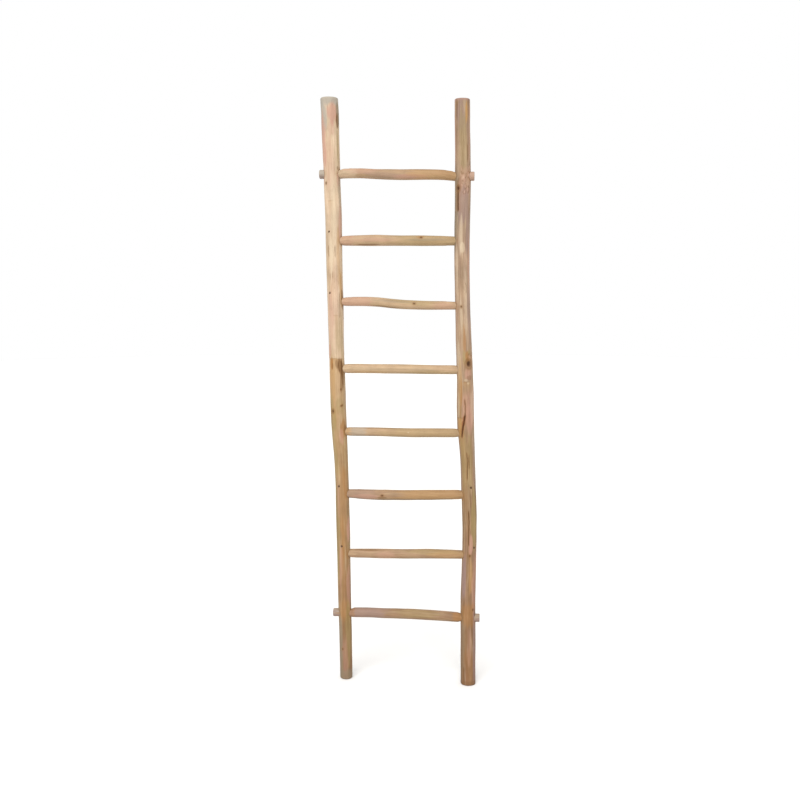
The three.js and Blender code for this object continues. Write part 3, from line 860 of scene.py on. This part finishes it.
def end_grain(name, pale, dark):
    """Sawn end of a stick: uneven growth rings about 2 mm apart round a pith that stands off the
    middle, crossed by drying cracks that start there, and rougher than the side."""
    material, tree = new_material(name)
    grain = add_node(tree, "Attribute", attribute_name="grain").outputs["Vector"]
    disc = add_node(tree, "Mapping", {
        "Vector": grain, "Scale": (1.0, 1.0, 0.0), "Location": (3 * MM, 2 * MM, 0.0)})
    warp = add_node(tree, "TexNoise", {"Vector": disc, "Scale": 1 / (20 * MM)})
    bent = add_node(tree, "Mix", {0: 0.006, 4: disc, 5: warp.outputs["Color"]}, data_type="VECTOR")
    # A ring pattern of scale 0.314 repeats every metre.
    rings = add_node(tree, "TexWave", {
        "Vector": bent, "Scale": 0.314 / (2.2 * MM), "Distortion": 1.5, "Detail": 2.0,
        "Detail Scale": 0.6}, wave_type="RINGS", rings_direction="SPHERICAL")
    speckle = add_node(tree, "TexNoise", {"Vector": disc, "Scale": 1 / (1.2 * MM), "Detail": 2.0})
    mottled = add_node(tree, "Math", {0: rings.outputs["Fac"], 1: speckle}, operation="MULTIPLY")
    ramp = add_node(tree, "ValToRGB", {0: mottled}, [(0.0, linear(pale)), (0.8, linear(dark))])
    angle = add_node(tree, "TexGradient", {0: bent}, gradient_type="RADIAL")
    spokes = add_node(tree, "TexNoise", {"W": angle, "Scale": 26.0, "Detail": 1.0}, noise_dimensions="1D")
    crack = add_node(tree, "MapRange", {
        "Value": spokes, "From Min": 0.66, "From Max": 0.72, "To Max": 0.75})
    colour = add_node(tree, "Mix", {0: crack, 6: ramp, 7: linear(BROWN)}, data_type="RGBA")
    height = add_node(tree, "Math", {0: speckle, 1: crack}, operation="SUBTRACT")
    return end_material(material, height, 0.5, 0.6 * MM, {
        "Base Color": colour, "Roughness": 0.85, "IOR": WOOD_IOR})


def nail_steel(look):
    """Drawn steel nail wire, dulled and tea-brown where teak's oils and damp have stained it."""
    material, tree = new_material("stained_nail_steel")
    place = add_node(tree, "TexCoord").outputs["Object"]
    spots = add_node(tree, "TexNoise", {"Vector": place, "Scale": 1 / (1.5 * MM), "Detail": 3.0})
    rust = add_node(tree, "MapRange", {"Value": spots, "From Min": 0.32, "From Max": 0.5})
    colour = add_node(tree, "Mix", {0: rust, 6: look.steel_colour, 7: look.rust_colour}, data_type="RGBA")
    metal = add_node(tree, "MapRange", {"Value": rust, "To Min": 0.9, "To Max": 0.0})
    rough = add_node(tree, "MapRange", {"Value": rust, "To Min": 0.42, "To Max": 0.8})
    return end_material(material, spots, 0.4, 0.2 * MM, {
        "Base Color": colour, "Metallic": metal, "Roughness": rough, "Specular IOR Level": 0.2})


def studio_paper(look):
    """White paper under the ladder: plain and matt, with a faint tooth."""
    material, tree = new_material("white_studio_paper")
    place = add_node(tree, "TexCoord").outputs["Object"]
    tooth = add_node(tree, "TexNoise", {"Vector": place, "Scale": 300.0, "Detail": 2.0})
    return end_material(material, tooth, 0.1, 0.2 * MM, {
        "Base Color": look.floor_colour, "Roughness": 0.9})


def colour_property(name, description, colour):
    return FloatVectorProperty(name=name, description=description, default=linear(colour),
                               size=4, min=0.0, max=1.0, subtype="COLOR")


def length_property(name, description, metres):
    return FloatProperty(name=name, description=description, default=metres, min=0.0,
                         precision=4, subtype="DISTANCE", unit="LENGTH")


class LeftRailLook(bpy.types.PropertyGroup):
    """Sizes and colours of the left rail."""
    top_colour: colour_property("Top", "Wood near the cut top", "#c2ab91")
    high_colour: colour_property("High", "Wood above the middle", "#c0a88f")
    middle_colour: colour_property("Middle", "Wood at mid height", "#977b59")
    low_colour: colour_property("Low", "Wood below the middle", "#866646")
    foot_colour: colour_property("Foot", "Wood at the foot", "#6d4f3c")
    bevel: length_property("Worn edge", "How far the edges of the sawn ends are worn round", 5 * MM)


class RightRailLook(bpy.types.PropertyGroup):
    """Sizes and colours of the right rail."""
    top_colour: colour_property("Top", "Wood near the cut top", "#99816a")
    high_colour: colour_property("High", "Wood above the middle", "#a38a73")
    middle_colour: colour_property("Middle", "Wood at mid height", "#886e50")
    low_colour: colour_property("Low", "Wood below the middle", "#7f6247")
    foot_colour: colour_property("Foot", "Wood at the foot", "#6f5039")
    bevel: length_property("Worn edge", "How far the edges of the sawn ends are worn round", 4 * MM)


class RungLook(bpy.types.PropertyGroup):
    """Sizes and colours of the rungs."""
    pale_colour: colour_property("Pale", "The palest rungs", "#b39b7c")
    golden_colour: colour_property("Golden", "Rungs of middling tone", "#a18467")
    deep_colour: colour_property("Deep", "The deepest rungs", "#7f6249")
    bevel: length_property("Worn edge", "How far the ends of the tenons are worn round", 2.5 * MM)


class NailLook(bpy.types.PropertyGroup):
    """Sizes and colours of the nails."""
    steel_colour: colour_property("Steel", "Bare nail wire", "#7a746c")
    rust_colour: colour_property("Stain", "Rust and tannin on the wire", "#4b2c14")
    head_radius: length_property("Head", "Radius of the head", 3.2 * MM)
    wire_radius: length_property("Wire", "Radius of the wire", 1.5 * MM)


class StageLook(bpy.types.PropertyGroup):
    """The floor, the light and the camera."""
    floor_colour: colour_property("Floor", "Plain pale floor", "#e6e5e3")
    softbox_strength: FloatProperty(
        name="Softbox", description="Strength of the light from the upper left", default=2.4, min=0.0)
    softbox_width: FloatProperty(
        name="Softbox width", description="How wide the softbox looks from the part",
        default=math.radians(50), min=0.0, subtype="ANGLE", unit="ROTATION")
    camera_distance: length_property("Camera distance", "From the aim point to the camera", 3.1)


def socket_cutters(side):
    """A cutter for each socket: a cylinder along the tenon's axis, with a slack round it.

    It runs from outside the mouth to the tenon's end, or right through the rail where the
    tenon comes out at the far side.
    """
    cutters = []
    for rung in rung_sticks():
        tip, shoulder, centre, radius = rung.tenon(side)
        inner = np.array([shoulder - side * 6 * MM, *centre])
        outer = np.array([tip + side * 0.5 * MM, *centre])
        profile = cylinder(radius + SOCKET_SLACK, np.linalg.norm(outer - inner))
        cutters.append(turned_object("socket", inner, outer, profile, 48))
    return cutters


def nail_cutters(key, look):
    """A cutter for each of a rail's nail holes: the nail grown by a slack, with its head
    carried up through the surface."""
    cutters = []
    wire, rim, above = look.wire_radius + NAIL_SLACK, look.head_radius + NAIL_SLACK, 10 * MM
    for number in RUNGS:
        head, point, length = nail_line(f"nail_{key}_{number}")
        profile = [(0, -length - NAIL_SLACK), (wire, -length), (wire, -HEAD_SEAT), (rim, -HEAD_SEAT),
                   (rim, above), (0, above)]
        cutters.append(turned_object("nail_hole", point, head, profile, NAIL_SIDES))
    return cutters


def build_rail(key, side, look, table, seed, wood):
    """A rail's skin with its sockets and nail holes cut, its attributes and its finish."""
    node = f"rail_{key}"
    stick = Stick(node, ALONG_Z, RAIL_SIDES)
    mark = rail_marks(table, seed)
    obj = stick_object(f"{key}_rail", stick, RAIL_SKIN, look.bevel, mark)
    sockets = joined("sockets", socket_cutters(side))
    holes = joined("nail_holes", nail_cutters(key, bpy.context.scene.ladder_nails))
    carve(obj, [sockets, holes])
    add_attributes(obj, stick, mark)
    end = end_grain(f"{key}_rail_end_grain", "#98846f", "#725c48")
    finish_stick(obj, stick, node, wood, end)


class LADDER_OT_left_rail(bpy.types.Operator):
    """Builds the left rail: a pale peeled pole, bleached at its cut top"""
    bl_idname = "ladder.left_rail"
    bl_label = "Left rail"

    def execute(self, context):
        look = context.scene.ladder_left_rail
        wood = pole_wood("pale_peeled_teak_pole", look, POLE_STREAKS, 0.6)
        build_rail("left", -1, look, LEFT_MARKS, 21, wood)
        return {"FINISHED"}


class LADDER_OT_right_rail(bpy.types.Operator):
    """Builds the right rail: a weathered pole with knots, a cleft and a long crack"""
    bl_idname = "ladder.right_rail"
    bl_label = "Right rail"

    def execute(self, context):
        look = context.scene.ladder_right_rail
        wood = pole_wood("weathered_peeled_teak_pole", look, WEATHERED_STREAKS, 0.66)
        build_rail("right", 1, look, RIGHT_MARKS, 47, wood)
        return {"FINISHED"}


class LADDER_OT_rungs(bpy.types.Operator):
    """Builds the rungs: sanded branches, whittled down at both ends to their tenons"""
    bl_idname = "ladder.rungs"
    bl_label = "Rungs"

    def execute(self, context):
        look = context.scene.ladder_rungs
        wood = rung_wood(look)
        end = end_grain("rung_end_grain", "#a39079", "#7c654f")
        for number, stick in zip(RUNGS, rung_sticks()):
            node = f"rung_{number}"
            mark = rung_marks(number, stick)
            obj = stick_object(f"{node}_branch", stick, RUNG_SKIN, look.bevel, mark)
            add_attributes(obj, stick, mark, RUNG_TONES[number - 1])
            finish_stick(obj, stick, node, wood, end)
        return {"FINISHED"}


class LADDER_OT_nails(bpy.types.Operator):
    """Builds the wire nails that lock each tenon in its socket"""
    bl_idname = "ladder.nails"
    bl_label = "Nails"

    def execute(self, context):
        look = context.scene.ladder_nails
        steel = nail_steel(look)
        wire, rim = look.wire_radius, look.head_radius
        for key, number in ((key, number) for key in ("left", "right") for number in RUNGS):
            node = f"nail_{key}_{number}"
            head, point, length = nail_line(node)
            profile = [
                (0, -length), (0.25 * wire, -length + 0.4 * MM), (wire, -length + 4 * MM),
                (wire, -2.2 * MM), (1.25 * wire, -HEAD_SEAT), (0.9 * rim, -1.3 * MM),
                (rim, -0.9 * MM), (rim, -0.5 * MM), (0.88 * rim, -0.1 * MM),
                (0.5 * rim, 0.05 * MM), (0, 0.1 * MM)]
            obj = turned_object(f"{key}_nail_{number}", point, head, profile, NAIL_SIDES)
            obj.data.materials.append(steel)
            obj.data.polygons.foreach_set("use_smooth", np.ones(len(obj.data.polygons), bool))
            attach(obj, "root")
            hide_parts(node)
        return {"FINISHED"}


def point_along(obj, direction):
    """Turns a light or a camera to look in a direction."""
    obj.rotation_mode = "QUATERNION"
    obj.rotation_quaternion = direction.to_track_quat("-Z", "Y")


class LADDER_OT_stage(bpy.types.Operator):
    """Lays the floor, and sets the lights and the camera"""
    bl_idname = "ladder.stage"
    bl_label = "Stage"

    def execute(self, context):
        look = context.scene.ladder_stage
        scene = context.scene
        radius, thickness = 16.0, 0.02
        below, top = np.array([0.0, 0.0, -1.0]), np.zeros(3)
        floor = turned_object("floor", below, top, cylinder(radius, thickness), 96)
        floor.data.materials.append(studio_paper(look))
        floor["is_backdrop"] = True

        world = bpy.data.worlds.new("white_studio")
        world.use_nodes = True
        background = world.node_tree.nodes["Background"]
        background.inputs["Color"].default_value = (1.0, 1.0, 1.0, 1.0)
        background.inputs["Strength"].default_value = 1.0
        scene.world = world
        scene.view_settings.view_transform = "Standard"
        softbox = add_object("softbox", bpy.data.lights.new("softbox", "SUN"))
        softbox.data.energy = look.softbox_strength
        softbox.data.angle = look.softbox_width
        point_along(softbox, Vector((0.16, 1.1, -0.95)))

        azimuth, elevation = math.radians(5.29), math.radians(6.73)
        level = math.cos(elevation)
        back = Vector((math.sin(azimuth) * level, -math.cos(azimuth) * level, math.sin(elevation)))
        low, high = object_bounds()
        middle = (low + high) / 2
        aim = Vector((middle.x - 3.8 * MM, middle.y, 0.498 * high.z))
        camera = add_object("camera", bpy.data.cameras.new("camera"))
        camera.data.lens = 42.12
        camera.location = aim + look.camera_distance * back
        point_along(camera, -back)
        scene.camera = camera
        return {"FINISHED"}


class LADDER_PT_panel(bpy.types.Panel):
    """Lists the parts of the ladder shelf"""
    bl_label = "Ladder shelf"
    bl_space_type = "VIEW_3D"
    bl_region_type = "UI"
    bl_category = "Ladder"

    def draw(self, context):
        for operator, look, name in PARTS:
            box = self.layout.box()
            box.operator(operator.bl_idname)
            for setting in look.__annotations__:
                box.prop(getattr(context.scene, name), setting)


# Each operator, its settings, and their name in the scene.
PARTS = [
    (LADDER_OT_left_rail, LeftRailLook, "ladder_left_rail"),
    (LADDER_OT_right_rail, RightRailLook, "ladder_right_rail"),
    (LADDER_OT_rungs, RungLook, "ladder_rungs"),
    (LADDER_OT_nails, NailLook, "ladder_nails"),
    (LADDER_OT_stage, StageLook, "ladder_stage"),
]


def register():
    for operator, look, name in PARTS:
        bpy.utils.register_class(look)
        setattr(bpy.types.Scene, name, PointerProperty(type=look))
        bpy.utils.register_class(operator)
    bpy.utils.register_class(LADDER_PT_panel)


def unregister():
    bpy.utils.unregister_class(LADDER_PT_panel)
    for operator, look, name in reversed(PARTS):
        bpy.utils.unregister_class(operator)
        delattr(bpy.types.Scene, name)
        bpy.utils.unregister_class(look)


def main():
    """Builds the ladder and its stage."""
    register()
    bpy.ops.ladder.left_rail()
    bpy.ops.ladder.right_rail()
    bpy.ops.ladder.rungs()
    bpy.ops.ladder.nails()
    bpy.ops.ladder.stage()


if __name__ == "__main__":
    main()
